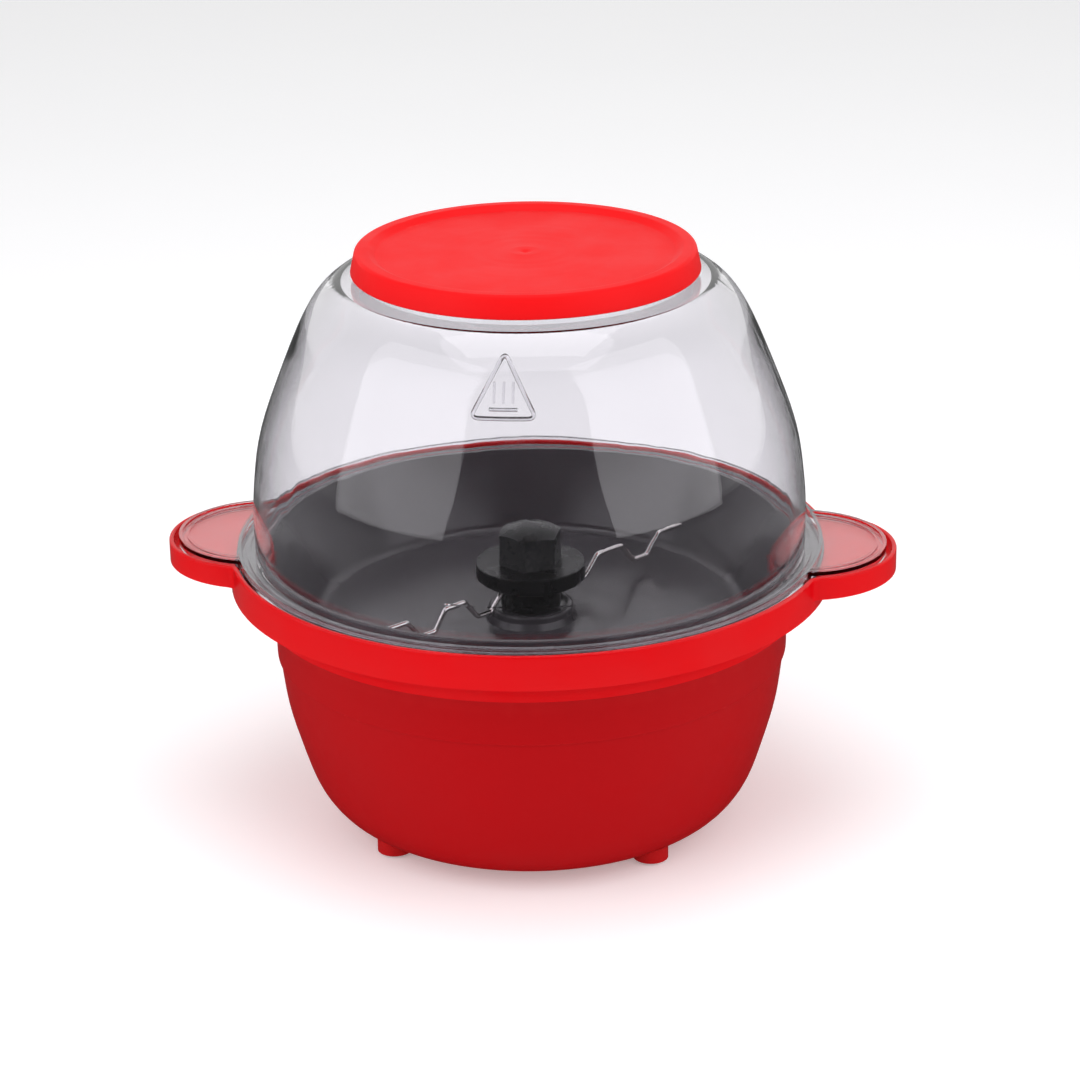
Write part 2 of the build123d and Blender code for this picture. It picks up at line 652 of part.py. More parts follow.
def leads():
    """Four insulated leads between the terminal block, the heater, its controls and the motor."""
    x, y = BLOCK_CENTRE
    front = y - BLOCK_SIZE[1] / 2 + 1
    bend = front - 12
    z = HOUSING_FLOOR_Z + HOUSING_FLOOR_T + 4.5
    coil_z = BOBBIN_Z[0] + 5
    pin_z = PAN_BASE_Z - ELEMENT_R - COLD_PIN_LENGTH
    tab_z = PAN_BASE_Z - 17
    right_pin, left_pin = pin_places()
    tx, ty = THERMOSTAT_PLACE
    heater = [(x + 12, front, z), (x + 12, bend, z), (right_pin[0], bend + 3, 40),
              (*right_pin, 58), (*right_pin, pin_z)]
    motor = [(x, front, z), (x, bend + 2, z), (x, bend + 2, coil_z), (x, COIL_R[1] + 0.2, coil_z)]
    supply = [(x - 12, front, z), (x - 12, bend, z), (-46, 10, 36), (tx - 4, ty, 58), (tx - 4, ty, tab_z)]
    link = [(tx + 4, ty, tab_z), (tx + 4, ty, 64), (-46, 8, 60), (-40, 42, 60),
            (*left_pin, 60), (*left_pin, pin_z)]
    for name, route in (("heater", heater), ("motor", motor), ("thermostat", supply), ("link", link)):
        save("lead_" + name, round_bar(route, LEAD_BEND, LEAD_R))


# ---- stirrer ------------------------------------------------------------------------------
def wire_path():
    """Points of the bent wire in its own upright plane, from one tip to the other."""
    def side(bends, end, sign):
        points = []
        for k, s in enumerate(bends):
            points.append((sign * s, 0, WIRE_HIGH_Z if (k + 1) % 4 < 2 else WIRE_LOW_Z))
        points.append((sign * end, 0, WIRE_HIGH_Z))
        return points
    left = side(WIRE_BENDS_SHORT, WIRE_END_SHORT, -1)
    right = side(WIRE_BENDS, WIRE_END, 1)
    return left[::-1] + right


def stirrer_wire():
    body = round_bar(wire_path(), WIRE_BEND, WIRE_R)
    return Rot(0, 0, WIRE_TURN) * body


def stirrer_hub():
    body = disc(HUB_R, HUB_Z, FLANGE_Z[0] + 1) + disc(FLANGE_R, *FLANGE_Z)
    for height in FLANGE_Z:
        body = fillet(circles_at(body, FLANGE_R, height), 0.5)
    body += disc(STUD_R, FLANGE_Z[1], STUD_TOP_Z)
    socket = slab(Rectangle(DRIVE_FLAT + 0.3, DRIVE_FLAT + 0.3), HUB_Z - 1, SHAFT_TOP_Z + 0.4)
    wire_hole = Rot(0, 0, WIRE_TURN) * Pos(0, 0, WIRE_HIGH_Z) * Rot(0, 90, 0) * Cylinder(WIRE_R, 60)
    return body - socket - wire_hole


def stirrer_knob():
    """Domed hexagonal cap nut screwed onto the stud of the hub."""
    prism = slab(RegularPolygon(KNOB_R, 6), FLANGE_Z[1], KNOB_TOP_Z + 2)
    prism = fillet(prism.edges().filter_by(Axis.Z), 1.2)
    drop = KNOB_TOP_Z - KNOB_CORNER_Z
    sphere_r = (KNOB_R ** 2 + drop ** 2) / (2 * drop)
    dome = Pos(0, 0, KNOB_TOP_Z - sphere_r) * Sphere(sphere_r)
    body = Rot(0, 0, KNOB_TURN) * (prism & dome)
    return body - disc(STUD_R, FLANGE_Z[1] - 1, STUD_TOP_Z + 0.5)


# ---- dome and cap -------------------------------------------------------------------------
def dome_shell():
    """Clear wall, shoulder and closed neck, as one turned profile."""
    def wall_curve(inset):
        points = [(r - inset, z - (inset if z > 250 else 0)) for r, z in DOME_SIDE]
        return Spline(points, tangents=[(0, 1), (-0.9, 0.62)])
    outer = wall_curve(0)
    inner = wall_curve(DOME_WALL)
    shoulder = Spline([outer @ 1, (DOME_SHOULDER_R, SHOULDER_Z)], tangents=[(-0.9, 0.62), (-1, 0)])
    neck_in = NECK_R - NECK_WALL
    under = SHOULDER_Z - NECK_WALL
    neck = Polyline(
        shoulder @ 1, (NECK_R, SHOULDER_Z), (NECK_R, NECK_TOP_Z), (0, NECK_TOP_Z),
        (0, NECK_TOP_Z - NECK_WALL), (neck_in, NECK_TOP_Z - NECK_WALL), (neck_in, under),
        (DOME_SHOULDER_R - 1, under), inner @ 1)
    base_in = DOME_BASE_R - DOME_WALL
    foot_line = Polyline(inner @ 0, (base_in, DOME_FOOT_Z), (DOME_BASE_R, DOME_FOOT_Z), outer @ 0)
    return turned(outer + shoulder + neck + inner + foot_line)


def dome_flange():
    """Stepped flange round the foot of the dome, with the two tabs over the handles."""
    plate_top = DOME_FOOT_Z + FLANGE_PLATE_T
    plate = tube(DOME_BASE_R - DOME_WALL, LIP_R, DOME_FOOT_Z, plate_top)
    lip = tube(LIP_R - LIP_T, LIP_R, DOME_FOOT_Z, LIP_TOP_Z)
    step = tube(*STEP_R, plate_top, STEP_TOP_Z)
    outline = lobed(LIP_R, TAB_R, HANDLE_FILLET)
    inset_outline = lobed(LIP_R - LIP_T, TAB_R - LIP_T, HANDLE_FILLET)
    border = slab(outline, DOME_FOOT_Z, TAB_BORDER_Z) - slab(inset_outline, 0, 200)
    tabs = slab(outline, *TAB_Z) - disc(LIP_R - LIP_T, 0, 200)
    ridge = slab(lobed(LIP_R, TAB_RIDGE_R[1], 3), TAB_Z[1], TAB_RIDGE_Z)
    ridge = ridge - slab(lobed(LIP_R - 1, TAB_RIDGE_R[0], 3), 0, 200) - disc(LIP_R - LIP_T, 0, 200)
    return plate + lip + step + border + tabs + ridge


def dome():
    """Clear dome with a closed neck, vented on top, that the cap presses over."""
    bead = turned(Pos(NECK_R, BEAD_Z) * CenterArc((0, 0), BEAD_R, 0, 360))
    slots = Sketch()
    for radius in VENT_R:
        for k in range(VENT_COUNT):
            slots += SlotArc(CenterArc((0, 0), radius, 360 / VENT_COUNT * k + 10, 40), VENT_WIDTH)
    body = dome_shell() + dome_flange() + bead
    return body - Pos(0, 0, NECK_TOP_Z - 6) * extrude(slots, 12)


def cap():
    """Soft snap-on lid over the vented deck."""
    taper = (CAP_R - CAP_TOP_R) / (CAP_TOP_Z - CAP_Z)
    under = CAP_PANEL_Z - CAP_WALL
    inner_low = CAP_R - CAP_WALL
    inner_high = inner_low - taper * (under - CAP_Z)
    body = turned_outline(
        (0, under), (inner_high, under), (inner_low, CAP_Z), (CAP_R, CAP_Z), (CAP_TOP_R, CAP_TOP_Z),
        (CAP_PANEL_R + 1.6, CAP_TOP_Z), (CAP_PANEL_R, CAP_PANEL_Z), (0, CAP_PANEL_Z))
    edges = body.edges().filter_by(GeomType.CIRCLE)
    top = [e for e in edges if abs(e.radius - CAP_TOP_R) < 0.01]
    body = fillet(top, 2.2)
    return body - disc(CAP_DIMPLE_R, CAP_PANEL_Z - 0.5, CAP_PANEL_Z + 1)


# ---- build --------------------------------------------------------------------------------
PIECES = [
    lower_housing, rim_ring, base_cover, clamp_rods, clamp_screws, cover_screws,
    heating_pan, pan_gasket, heating_element, heat_shield, pan_bush, shaft_seal,
    thermostat, thermostat_bracket, thermal_fuse,
    motor_can, motor_plate, motor_standoffs, motor_screws, coil_bobbin, motor_coil,
    stator_poles, gear_plate, rotor_pin, idler_pin, rotor_magnet, rotor_pinion,
    idler_gear, output_gear, drive_shaft, shaft_clip,
    terminal_block, terminal_screws, cord_gland,
    stirrer_wire, stirrer_hub, stirrer_knob, dome, cap,
]

os.makedirs("parts", exist_ok=True)
for piece in PIECES:
    save(piece.__name__, piece())
feet()
leads()
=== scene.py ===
import json
from math import cos, exp, pi, radians, sin

import bmesh
import bpy
from mathutils import Matrix, Vector
from mathutils.bvhtree import BVHTree

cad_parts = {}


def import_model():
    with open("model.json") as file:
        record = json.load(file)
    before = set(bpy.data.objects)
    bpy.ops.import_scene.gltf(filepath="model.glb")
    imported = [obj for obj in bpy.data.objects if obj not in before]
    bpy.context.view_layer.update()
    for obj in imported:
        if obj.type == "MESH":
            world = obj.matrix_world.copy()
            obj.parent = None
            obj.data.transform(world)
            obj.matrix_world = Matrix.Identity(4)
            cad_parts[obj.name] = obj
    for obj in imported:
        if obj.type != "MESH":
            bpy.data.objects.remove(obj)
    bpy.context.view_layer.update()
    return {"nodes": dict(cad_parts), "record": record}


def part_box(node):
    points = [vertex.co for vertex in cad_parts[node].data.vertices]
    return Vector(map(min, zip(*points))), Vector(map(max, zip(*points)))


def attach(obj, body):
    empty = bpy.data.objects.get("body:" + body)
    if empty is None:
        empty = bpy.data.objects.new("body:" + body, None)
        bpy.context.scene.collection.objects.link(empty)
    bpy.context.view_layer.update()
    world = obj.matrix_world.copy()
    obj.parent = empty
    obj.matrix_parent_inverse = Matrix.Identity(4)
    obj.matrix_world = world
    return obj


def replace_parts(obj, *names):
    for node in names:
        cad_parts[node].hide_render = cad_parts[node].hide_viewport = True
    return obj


# Looks of the stirring popcorn maker. Metres, +Z up, handles along X, front towards -Y.

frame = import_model()

MM = 0.001

# ---- camera: from the front, a little to the right, looking down -----------------------------
CAMERA_AZIMUTH = 5.5            # degrees round from -Y towards +X
CAMERA_ELEVATION = 21.35
CAMERA_ROLL = -0.87
CAMERA_DISTANCE = 1.4665
CAMERA_AIM = (0.0045, 0.0004, 0.1316)
CAMERA_LENS = 106.35
CAMERA_SENSOR = 36.0
CAMERA_FAR = 50.0

# ---- light ------------------------------------------------------------------------------------
PANEL_AIM_Z = 0.15
PANEL_ANGLE = 58.0              # middle of each side panel, degrees from the camera's direction
PANEL_ELEVATION = 24.0
PANEL_DISTANCE = 1.5
PANEL_SIZE = 1.5
PANEL_POWER = 9.5
PANEL_COLOR = (0.985, 0.97, 1.0)
TOP_ELEVATION = 84.0
TOP_DISTANCE = 1.6
TOP_SIZE = 1.4
TOP_POWER = 11.5
WORLD_STRENGTH = 0.5
WORLD_MIRRORED = (0.05, 1.0)    # what gloss mirrors of the room, at the front and at the back
WORLD_FRONT_Y = -0.3            # direction's Y where the mirrored room starts to get lighter
WORLD_BACK_Y = 0.6              # and where it is at its lightest
MIRRORED_TIMES = 1.5            # once or twice is within 0.6 of this
MIRRORED_WITHIN = 0.6
FLOOR_SIZE = 30.0
FLOOR_GLOW = 0.25               # keeps the floor pale away from the lamps
FLOOR_MIRRORED = (0.08, 0.08, 0.08)     # what gloss mirrors of the floor

# ---- raised mark on the dome ------------------------------------------------------------------
MARK_LOW_Z = 0.2275
MARK_HIGH_Z = 0.2505
MARK_HALF_WIDTH = 0.014
MARK_LINE = 0.0011              # width of a rib; the outline and the bar are a little wider
MARK_RAISE = 0.0008
MARK_CORNER = 0.0022
MARK_BAR_UP = 0.0035            # the bar above the foot of the triangle
MARK_BAR_HALF = 0.006
MARK_RIBS_X = (-0.004, 0.0, 0.004)
MARK_RIB_UP = 0.0025            # the ribs above the bar
MARK_STEP = 0.001
CAST_FROM_Y = -0.3              # in front of the dome, where the mark's points are cast from

# ---- cap, in millimetres ----------------------------------------------------------------------
CAP_SHOULDER_IN = 2.25          # the crown of the rim, in from the outside
CAP_RIM_WIDTH = 8.0
CAP_SUNK = 2.3
CAP_BEVEL = 3.4
CAP_FLAT_IN = 3.0
CAP_WALL = 1.8
CAP_PANEL_WALL = 1.1
CAP_RINGS = 90


# ---- node helpers -----------------------------------------------------------------------------
class Shader:
    """A node material with one Principled shader, built up link by link."""

    def __init__(self, name, color, roughness, **inputs):
        self.material = bpy.data.materials.new(name)
        self.material.use_nodes = True
        self.nodes = self.material.node_tree.nodes
        self.links = self.material.node_tree.links
        self.principled = self.nodes["Principled BSDF"]
        self.principled.inputs["Base Color"].default_value = (*color, 1.0)
        self.principled.inputs["Roughness"].default_value = roughness
        for socket, value in inputs.items():
            self.principled.inputs[socket.replace("_", " ")].default_value = value
        self.place = self.nodes.new("ShaderNodeTexCoord").outputs["Object"]

    def noise(self, scale, detail=4.0, roughness=0.55, stretch=(1.0, 1.0, 1.0)):
        mapping = self.nodes.new("ShaderNodeMapping")
        mapping.inputs["Scale"].default_value = stretch
        self.links.new(self.place, mapping.inputs["Vector"])
        texture = self.nodes.new("ShaderNodeTexNoise")
        texture.inputs["Scale"].default_value = scale
        texture.inputs["Detail"].default_value = detail
        texture.inputs["Roughness"].default_value = roughness
        self.links.new(mapping.outputs["Vector"], texture.inputs["Vector"])
        return texture.outputs["Fac"]

    def ramp(self, value, low, high, start=0.35, end=0.65):
        node = self.nodes.new("ShaderNodeMapRange")
        node.inputs["From Min"].default_value = start
        node.inputs["From Max"].default_value = end
        node.inputs["To Min"].default_value = low
        node.inputs["To Max"].default_value = high
        self.links.new(value, node.inputs["Value"])
        return node.outputs["Result"]

    def tint(self, value, other, amount=1.0, start=0.35, end=0.65):
        """Blends the colour towards another one where the value is high."""
        mix = self.nodes.new("ShaderNodeMix")
        mix.data_type = "RGBA"
        source = self.principled.inputs["Base Color"]
        if source.is_linked:
            self.links.new(source.links[0].from_socket, mix.inputs["A"])
        else:
            mix.inputs["A"].default_value = source.default_value
        mix.inputs["B"].default_value = (*other, 1.0)
        self.links.new(self.ramp(value, 0.0, amount, start, end), mix.inputs["Factor"])
        self.links.new(mix.outputs["Result"], source)
        return self

    def gloss(self, value, low, high, start=0.35, end=0.65):
        """Roughness that goes from one value to another over the surface."""
        self.links.new(self.ramp(value, low, high, start, end), self.principled.inputs["Roughness"])
        return self

    def bump(self, value, height, strength=1.0):
        node = self.nodes.new("ShaderNodeBump")
        node.inputs["Strength"].default_value = strength
        node.inputs["Distance"].default_value = height
        self.links.new(value, node.inputs["Height"])
        normal = self.principled.inputs["Normal"]
        if normal.is_linked:
            self.links.new(normal.links[0].from_socket, node.inputs["Normal"])
        self.links.new(node.outputs["Normal"], normal)
        return self

    def edge_wear_and_highlight(self, color, amount):
        """Lighter along convex edges: partly rubbed wear, partly a painted edge highlight."""
        geometry = self.nodes.new("ShaderNodeNewGeometry")
        return self.tint(geometry.outputs["Pointiness"], color, amount, 0.52, 0.6)


def reflection_only(nodes, links):
    """1 for a ray that gloss has mirrored once or twice. It is 0 for a ray that only passed through
    the clear dome, and for one that went round inside an edge of it."""
    path = nodes.new("ShaderNodeLightPath")
    node = nodes.new("ShaderNodeMath")
    node.operation = "COMPARE"
    node.inputs[1].default_value = MIRRORED_TIMES
    node.inputs[2].default_value = MIRRORED_WITHIN
    links.new(path.outputs["Glossy Depth"], node.inputs[0])
    return node.outputs["Value"]


# ---- materials --------------------------------------------------------------------------------
def red_gloss():
    s = Shader("red_gloss", (0.66, 0.001, 0.004), 0.22, Specular_IOR_Level=0.12, Coat_Weight=0.1,
               Coat_Roughness=0.08)
    s.tint(s.noise(9.0), (0.6, 0.001, 0.0035), 0.6)
    s.gloss(s.noise(35.0), 0.17, 0.27)
    s.bump(s.noise(160.0, 2.0), 0.00005, 0.25)
    # lighter convex edges: rubbed wear and a painted edge highlight
    return s.edge_wear_and_highlight((0.72, 0.02, 0.02), 0.25)


def red_satin():
    s = Shader("red_satin", (0.43, 0.0008, 0.003), 0.36, Specular_IOR_Level=0.08)
    s.tint(s.noise(6.0), (0.39, 0.0007, 0.0026), 0.6)
    s.gloss(s.noise(24.0), 0.38, 0.48)
    s.bump(s.noise(900.0, 3.0), 0.00004, 0.35)
    s.bump(s.noise(22.0, 1.0), 0.0002, 0.12)
    # lighter convex edges: rubbed wear and a painted edge highlight
    return s.edge_wear_and_highlight((0.6, 0.02, 0.02), 0.3)


def red_soft():
    s = Shader("red_soft", (0.84, 0.003, 0.005), 0.5, Specular_IOR_Level=0.13)
    s.tint(s.noise(5.0, 1.0), (0.8, 0.0027, 0.0045), 0.7)
    s.gloss(s.noise(45.0), 0.46, 0.54)
    rings = s.nodes.new("ShaderNodeTexWave")
    rings.wave_type = "RINGS"
    rings.rings_direction = "Z"
    rings.inputs["Scale"].default_value = 60.0
    rings.inputs["Distortion"].default_value = 1.5
    s.links.new(s.place, rings.inputs["Vector"])
    s.bump(rings.outputs["Fac"], 0.00004, 0.2)
    s.bump(s.noise(500.0, 3.0), 0.00003, 0.3)
    # lighter convex edges: rubbed wear and a painted edge highlight
    return s.edge_wear_and_highlight((0.95, 0.06, 0.05), 0.35)


def clear():
    """Clear polystyrene. Light passes straight through it, so what is inside is lit."""
    s = Shader("clear", (0.91, 0.9, 0.925), 0.02, IOR=1.5, Transmission_Weight=1.0)
    s.gloss(s.noise(18.0), 0.012, 0.05)
    s.bump(s.noise(16.0, 2.0), 0.0006, 0.1)
    through = s.nodes.new("ShaderNodeBsdfTransparent")
    through.inputs["Color"].default_value = (0.95, 0.955, 0.96, 1.0)
    path = s.nodes.new("ShaderNodeLightPath")
    mix = s.nodes.new("ShaderNodeMixShader")
    s.links.new(path.outputs["Is Shadow Ray"], mix.inputs["Fac"])
    s.links.new(s.principled.outputs["BSDF"], mix.inputs[1])
    s.links.new(through.outputs["BSDF"], mix.inputs[2])
    s.links.new(mix.outputs["Shader"], s.nodes["Material Output"].inputs["Surface"])
    return s


def nonstick():
    s = Shader("nonstick", (0.04, 0.035, 0.04), 0.22, Specular_IOR_Level=0.6)
    s.tint(s.noise(1500.0, 2.0), (0.055, 0.05, 0.055), 0.5)
    s.tint(s.noise(7.0, 2.0), (0.035, 0.031, 0.035), 0.6)
    s.gloss(s.noise(60.0), 0.2, 0.26)
    s.bump(s.noise(1300.0, 2.0), 0.00002, 0.2)
    # lighter convex edges: rubbed wear and a painted edge highlight
    return s.edge_wear_and_highlight((0.16, 0.15, 0.15), 0.3)


def plain(name, color, other, roughness, scale, height, edge_tone, **inputs):
    """Moulded or pressed stock: colour drift, uneven gloss, a fine surface and lighter convex edges, partly
    rubbed wear and partly a painted edge highlight.
    """
    s = Shader(name, color, roughness, **inputs)
    s.tint(s.noise(scale), other, 0.7)
    s.gloss(s.noise(scale * 3.0), roughness * 0.85, roughness * 1.25)
    s.bump(s.noise(scale * 30.0, 2.0), height, 0.3)
    # lighter convex edges: rubbed wear and a painted edge highlight
    return s.edge_wear_and_highlight(edge_tone, 0.4)


def brushed(name, color, other, roughness, stretch):
    """Metal with a rolled or drawn grain."""
    s = Shader(name, color, roughness, Metallic=1.0)
    grain = s.noise(700.0, 3.0, 0.6, stretch)
    s.tint(grain, other, 0.6)
    s.gloss(grain, roughness * 0.8, roughness * 1.4)
    s.bump(grain, 0.00002, 0.25)
    # lighter convex edges: rubbed wear and a painted edge highlight
    return s.edge_wear_and_highlight((0.92, 0.92, 0.92), 0.4)


# the last colour given to plain() is its lighter edge tone: rubbed wear and a painted edge highlight
MATERIALS = {
    "red_gloss": red_gloss(),
    "red_satin": red_satin(),
    "red_soft": red_soft(),
    "clear": clear(),
    "nonstick": nonstick(),
    "black_nylon": plain("black_nylon", (0.004, 0.0036, 0.004), (0.006, 0.0055, 0.006),
                         0.28, 40.0, 0.00003, (0.06, 0.06, 0.06), Specular_IOR_Level=0.25),
    "wire_steel": brushed("wire_steel", (0.80, 0.76, 0.75), (0.66, 0.62, 0.62), 0.16, (1.0, 1.0, 0.2)),
    "steel": brushed("steel", (0.62, 0.63, 0.64), (0.5, 0.51, 0.52), 0.34, (1.0, 1.0, 0.06)),
    "screw_steel": brushed("screw_steel", (0.55, 0.55, 0.53), (0.42, 0.42, 0.41),
                           0.32, (1.0, 1.0, 1.0)),
    "aluminium": brushed("aluminium", (0.80, 0.80, 0.79), (0.68, 0.68, 0.68), 0.3, (0.05, 1.0, 1.0)),
    "bronze": brushed("bronze", (0.60, 0.41, 0.2), (0.44, 0.28, 0.13), 0.38, (1.0, 1.0, 1.0)),
    "copper": brushed("copper", (0.72, 0.3, 0.15), (0.5, 0.19, 0.09), 0.3, (0.2, 0.2, 9.0)),
    "silicone": plain("silicone", (0.42, 0.04, 0.03), (0.34, 0.03, 0.025),
                      0.6, 60.0, 0.00006, (0.5, 0.12, 0.1)),
    "rubber": plain("rubber", (0.02, 0.02, 0.02), (0.03, 0.03, 0.03),
                    0.75, 80.0, 0.00008, (0.08, 0.08, 0.08)),
    "gear_nylon": plain("gear_nylon", (0.78, 0.75, 0.66), (0.7, 0.67, 0.58),
                        0.38, 90.0, 0.00003, (0.9, 0.88, 0.8)),
    "magnet": plain("magnet", (0.03, 0.03, 0.033), (0.05, 0.05, 0.052),
                    0.5, 120.0, 0.00005, (0.2, 0.2, 0.2)),
    "nylon_cream": plain("nylon_cream", (0.7, 0.64, 0.5), (0.62, 0.56, 0.43),
                         0.45, 70.0, 0.00004, (0.8, 0.76, 0.66)),
    "ceramic": plain("ceramic", (0.02, 0.017, 0.017), (0.035, 0.03, 0.03),
                     0.4, 90.0, 0.00004, (0.1, 0.1, 0.1)),
    "lead_white": plain("lead_white", (0.7, 0.69, 0.66), (0.6, 0.59, 0.56),
                        0.6, 200.0, 0.00006, (0.8, 0.8, 0.8)),
    "lead_blue": plain("lead_blue", (0.015, 0.05, 0.32), (0.012, 0.04, 0.25),
                       0.45, 150.0, 0.00003, (0.1, 0.16, 0.45)),
    "lead_brown": plain("lead_brown", (0.1, 0.035, 0.012), (0.075, 0.025, 0.01),
                        0.45, 150.0, 0.00003, (0.2, 0.1, 0.05)),
}


def finish_nodes():
    """Gives every CAD node the material of its slot."""
    for part in frame["record"]["subparts"]:
        node = frame["nodes"][part["node"]]
        material = MATERIALS[part["material_slot"]].material
        node.data.materials.clear()
        node.data.materials.append(material)


# ---- meshes -----------------------------------------------------------------------------------
def piece(name, vertices, faces, slot, body):
    mesh = bpy.data.meshes.new(name)
    mesh.from_pydata(vertices, [], faces)
    bm = bmesh.new()
    bm.from_mesh(mesh)
    bmesh.ops.recalc_face_normals(bm, faces=bm.faces)
    bm.to_mesh(mesh)
    bm.free()
    mesh.shade_smooth()
    mesh.set_sharp_from_angle(angle=radians(35))
    mesh.materials.append(MATERIALS[slot].material)
    obj = bpy.data.objects.new(name, mesh)
    bpy.context.scene.collection.objects.link(obj)
    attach(obj, body)
    return obj


def arc(corner, radius, before, after, steps=7):
    """Points that round one corner of an outline."""
    here = Vector(corner)
    back = (Vector(before) - here).normalized()
    on = (Vector(after) - here).normalized()
    half = back.angle(on) / 2
    reach = radius * cos(half) / sin(half)
    start = here + back * reach
    end = here + on * reach
    centre = here + (back + on).normalized() * (radius / sin(half))
    first = start - centre
    last = end - centre
    turn = first.angle(last)
    points = []
    for k in range(steps + 1):
        t = k / steps
        points.append(centre + (first * sin((1 - t) * turn) + last * sin(t * turn)) / sin(turn))
    return points


def rounded(corners, closed=True):
    """Outline with each (a, b, radius) corner rounded; a radius of 0 keeps it sharp."""
    points = []
    count = len(corners)
    for k, (a, b, radius) in enumerate(corners):
        at_end = not closed and k in (0, count - 1)
        if radius == 0 or at_end:
            points.append(Vector((a, b)))
        else:
            points += arc((a, b), radius, corners[k - 1][:2], corners[(k + 1) % count][:2])
    return points


def turned(outline, steps=288):
    """Vertices and faces of a closed (radius, height) outline, in millimetres, turned round Z."""
    vertices = []
    rings = []
    for point in outline:
        if point.x < 1e-6:
            rings.append([len(vertices)])
            vertices.append(Vector((0.0, 0.0, point.y)) * MM)
            continue
        rings.append(list(range(len(vertices), len(vertices) + steps)))
        for k in range(steps):
            turn = 2 * pi * k / steps
            vertices.append(Vector((point.x * cos(turn), point.x * sin(turn), point.y)) * MM)
    faces = []
    for a, b in zip(rings, rings[1:] + rings[:1]):
        for k in range(steps):
            j = (k + 1) % steps
            if len(a) == 1 and len(b) == 1:
                break
            if len(a) == 1:
                faces.append((a[0], b[j], b[k]))
            elif len(b) == 1:
                faces.append((a[k], a[j], b[0]))
            else:
                faces.append((a[k], a[j], b[j], b[k]))
    return vertices, faces


def surface_of(node):
    """A lookup for points on a CAD node's surface."""
    mesh = frame["nodes"][node].data
    mesh.calc_loop_triangles()
    vertices = [v.co.copy() for v in mesh.vertices]
    triangles = [tuple(t.vertices) for t in mesh.loop_triangles]
    return BVHTree.FromPolygons(vertices, triangles)


# ---- raised mark ------------------------------------------------------------------------------
def strip(path, closed, width, raise_by, surface):
    """A low rounded bead along a path of (sideways, height) points, laid on the front of the dome."""
    half_section = [(0.2, 0.95), (0.42, 0.6), (0.5, 0.0), (0.3, -0.35)]
    section = [(-s, h) for s, h in reversed(half_section[:3])] + half_section + [(-0.3, -0.35)]
    count = len(path)
    vertices = []
    for k in range(count):
        before = path[k - 1] if closed or k > 0 else path[k]
        after = path[(k + 1) % count] if closed or k < count - 1 else path[k]
        run = (Vector(after) - Vector(before)).normalized()
        across = Vector((-run.y, run.x))
        for s, h in section:
            place = Vector(path[k]) + across * (s * width)
            start = Vector((place.x, CAST_FROM_Y, place.y))
            hit, normal, _, _ = surface.ray_cast(start, Vector((0.0, 1.0, 0.0)))
            if normal.y > 0:
                normal = -normal
            vertices.append(hit + normal * (raise_by * h))
    sides = len(section)
    faces = []
    for k in range(count if closed else count - 1):
        a = k * sides
        b = ((k + 1) % count) * sides
        for j in range(sides):
            i = (j + 1) % sides
            faces.append((a + j, a + i, b + i, b + j))
    if not closed:
        faces.append(tuple(range(sides)))
        faces.append(tuple((count - 1) * sides + j for j in range(sides)))
    return vertices, faces


def rounded_triangle():
    """Points of the triangle with its three corners rounded."""
    radius = MARK_CORNER
    corners = [(-MARK_HALF_WIDTH, MARK_LOW_Z), (MARK_HALF_WIDTH, MARK_LOW_Z), (0.0, MARK_HIGH_Z + radius)]
    points = []
    for k in range(3):
        here = Vector(corners[k])
        back = (Vector(corners[k - 1]) - here).normalized()
        on = (Vector(corners[(k + 1) % 3]) - here).normalized()
        half = back.angle(on) / 2
        reach = radius / max(0.2, abs(sin(half) / cos(half)))
        start = here + back * reach
        end = here + on * reach
        for j in range(9):
            t = j / 8
            points.append(tuple(start * (1 - t) ** 2 + here * 2 * t * (1 - t) + end * t ** 2))
        following = Vector(corners[(k + 1) % 3])
        next_start = following + (here - following).normalized() * reach
        for j in range(1, 12):
            points.append(tuple(end.lerp(next_start, j / 12)))
    return points


def dome_mark():
    surface = surface_of("dome")
    vertices, faces = [], []

    def add(path, closed, width):
        more_vertices, more_faces = strip(path, closed, width, MARK_RAISE, surface)
        base = len(vertices)
        vertices.extend(more_vertices)
        faces.extend(tuple(base + i for i in f) for f in more_faces)

    add(rounded_triangle(), True, MARK_LINE * 1.6)
    bar = MARK_LOW_Z + MARK_BAR_UP
    add([(-MARK_BAR_HALF + MARK_STEP * k, bar) for k in range(13)], False, MARK_LINE * 1.4)
    for x in MARK_RIBS_X:
        add([(x, bar + MARK_RIB_UP + MARK_STEP * k) for k in range(9)], False, MARK_LINE)
    piece("dome_mark", vertices, faces, "clear", "dome")


# ---- cap --------------------------------------------------------------------------------------
def cap_top_line(radius, panel, rim):
    """Height of the cap's sunk panel: a gate pit in the middle, faint moulding rings round it."""
    pit = -0.9 * exp(-(radius / 2.6) ** 2) + 0.16 * exp(-((radius - 6.5) / 1.6) ** 2)
    ripple = 0.035 * sin(radius * 0.85) * exp(-(radius / 34.0) ** 2)
    return panel + (pit + ripple) * (1 - (radius / rim) ** 6)


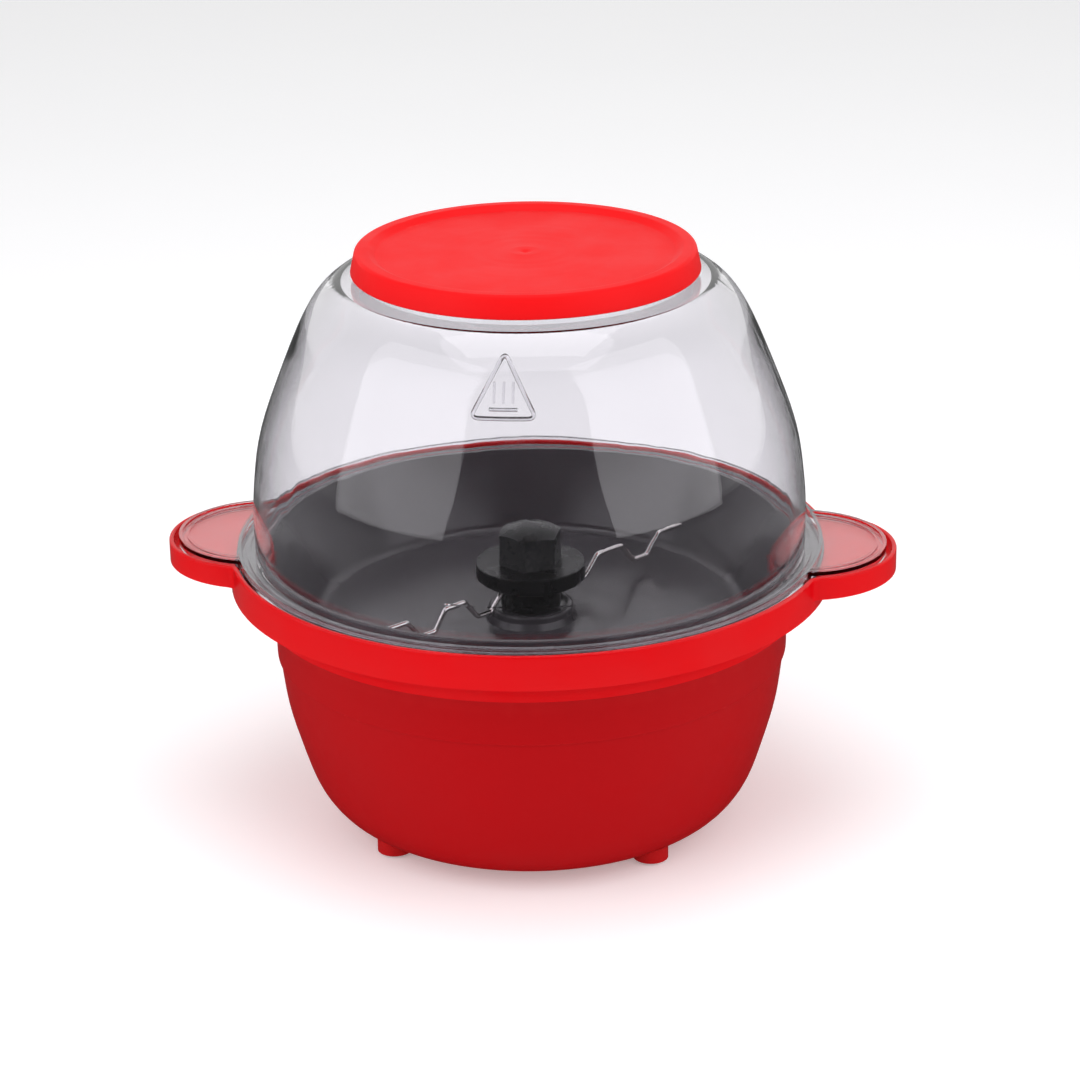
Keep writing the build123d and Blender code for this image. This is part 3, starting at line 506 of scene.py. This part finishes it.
def cap_piece():
    """The soft cap with its rounded rim, its sunk panel and the pit left by the gate."""
    low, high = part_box("cap")
    bottom = low.z / MM
    top = high.z / MM
    outside = high.x / MM
    shoulder = outside - CAP_SHOULDER_IN
    panel = top - CAP_SUNK
    panel_r = outside - CAP_BEVEL - CAP_RIM_WIDTH
    flat_r = panel_r - CAP_FLAT_IN
    inner = outside - CAP_WALL
    under = panel - CAP_PANEL_WALL
    rim = [(inner, bottom, 0), (outside, bottom, 0.5), (shoulder, top, 2.0), (panel_r + CAP_BEVEL, top, 2.2),
           (panel_r, panel, 2.6), (flat_r, panel, 0)]
    outline = rounded(rim, closed=False)
    for k in range(1, CAP_RINGS + 1):
        radius = flat_r * (1 - k / CAP_RINGS)
        outline.append(Vector((radius, cap_top_line(radius, panel, panel_r))))
    outline += rounded([(0.0, under, 0), (inner - 2.0, under, 1.0), (inner, bottom, 0)], closed=False)[:-1]
    vertices, faces = turned(outline)
    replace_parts(piece("cap_lid", vertices, faces, "red_soft", "cap"), "cap")


# ---- stage ------------------------------------------------------------------------------------
def stage():
    bpy.ops.mesh.primitive_plane_add(size=FLOOR_SIZE)
    floor = bpy.context.object
    floor.name = "floor"
    s = Shader("floor", (0.93, 0.93, 0.935), 0.6, Specular_IOR_Level=0.1)
    s.tint(s.noise(3.0), (0.91, 0.91, 0.915), 0.5)
    mirrored = reflection_only(s.nodes, s.links)
    s.tint(mirrored, FLOOR_MIRRORED, 1.0, 0.0, 1.0)
    s.principled.inputs["Emission Color"].default_value = (1.0, 1.0, 1.0, 1.0)
    s.links.new(s.ramp(mirrored, FLOOR_GLOW, 0.0, 0.0, 1.0), s.principled.inputs["Emission Strength"])
    floor.data.materials.append(s.material)


def world():
    """A white room. Gloss mirrors it dark at the front and light at the back, as cards would do."""
    room = bpy.data.worlds.new("studio")
    room.use_nodes = True
    nodes = room.node_tree.nodes
    links = room.node_tree.links
    background = nodes["Background"]
    background.inputs["Color"].default_value = (1.0, 1.0, 1.0, 1.0)
    direction = nodes.new("ShaderNodeTexCoord")
    split = nodes.new("ShaderNodeSeparateXYZ")
    links.new(direction.outputs["Generated"], split.inputs["Vector"])
    mirrored = nodes.new("ShaderNodeMapRange")
    mirrored.inputs["From Min"].default_value = WORLD_FRONT_Y
    mirrored.inputs["From Max"].default_value = WORLD_BACK_Y
    mirrored.inputs["To Min"].default_value = WORLD_MIRRORED[0]
    mirrored.inputs["To Max"].default_value = WORLD_MIRRORED[1]
    links.new(split.outputs["Y"], mirrored.inputs["Value"])
    strength = nodes.new("ShaderNodeMix")
    strength.inputs["A"].default_value = WORLD_STRENGTH
    links.new(mirrored.outputs["Result"], strength.inputs["B"])
    links.new(reflection_only(nodes, links), strength.inputs["Factor"])
    links.new(strength.outputs["Result"], background.inputs["Strength"])
    bpy.context.scene.world = room


def panel(name, angle, elevation, distance, size, power):
    """A soft box round the object, aimed at the middle of it; angle 0 is beside the camera."""
    turn = radians(CAMERA_AZIMUTH + angle - 90.0)
    lift = radians(elevation)
    aim = Vector((0.0, 0.0, PANEL_AIM_Z))
    place = aim + distance * Vector((cos(turn) * cos(lift), sin(turn) * cos(lift), sin(lift)))
    data = bpy.data.lights.new(name, "AREA")
    data.shape = "SQUARE"
    data.size = size
    data.energy = power
    data.color = PANEL_COLOR
    light = bpy.data.objects.new(name, data)
    light.location = place
    light.rotation_euler = (aim - place).to_track_quat("-Z", "Y").to_euler()
    bpy.context.scene.collection.objects.link(light)


def lights():
    panel("panel_left", -PANEL_ANGLE, PANEL_ELEVATION, PANEL_DISTANCE, PANEL_SIZE, PANEL_POWER)
    panel("panel_right", PANEL_ANGLE, PANEL_ELEVATION, PANEL_DISTANCE, PANEL_SIZE, PANEL_POWER)
    panel("panel_top", 0.0, TOP_ELEVATION, TOP_DISTANCE, TOP_SIZE, TOP_POWER)


def camera():
    turn = radians(CAMERA_AZIMUTH)
    lift = radians(CAMERA_ELEVATION)
    aim = Vector(CAMERA_AIM)
    back = Vector((sin(turn) * cos(lift), -cos(turn) * cos(lift), sin(lift)))
    right = Vector((cos(turn), sin(turn), 0.0))
    up = back.cross(right)
    roll = radians(CAMERA_ROLL)
    x_axis = right * cos(roll) + up * sin(roll)
    y_axis = up * cos(roll) - right * sin(roll)
    data = bpy.data.cameras.new("camera")
    data.lens = CAMERA_LENS
    data.sensor_width = CAMERA_SENSOR
    data.clip_end = CAMERA_FAR
    obj = bpy.data.objects.new("camera", data)
    bpy.context.scene.collection.objects.link(obj)
    axes = Matrix((x_axis, y_axis, back)).transposed().to_4x4()
    obj.matrix_world = Matrix.Translation(aim + back * CAMERA_DISTANCE) @ axes
    bpy.context.scene.camera = obj


finish_nodes()
cap_piece()
dome_mark()
stage()
world()
lights()
camera()
bpy.context.scene.view_settings.view_transform = "Standard"
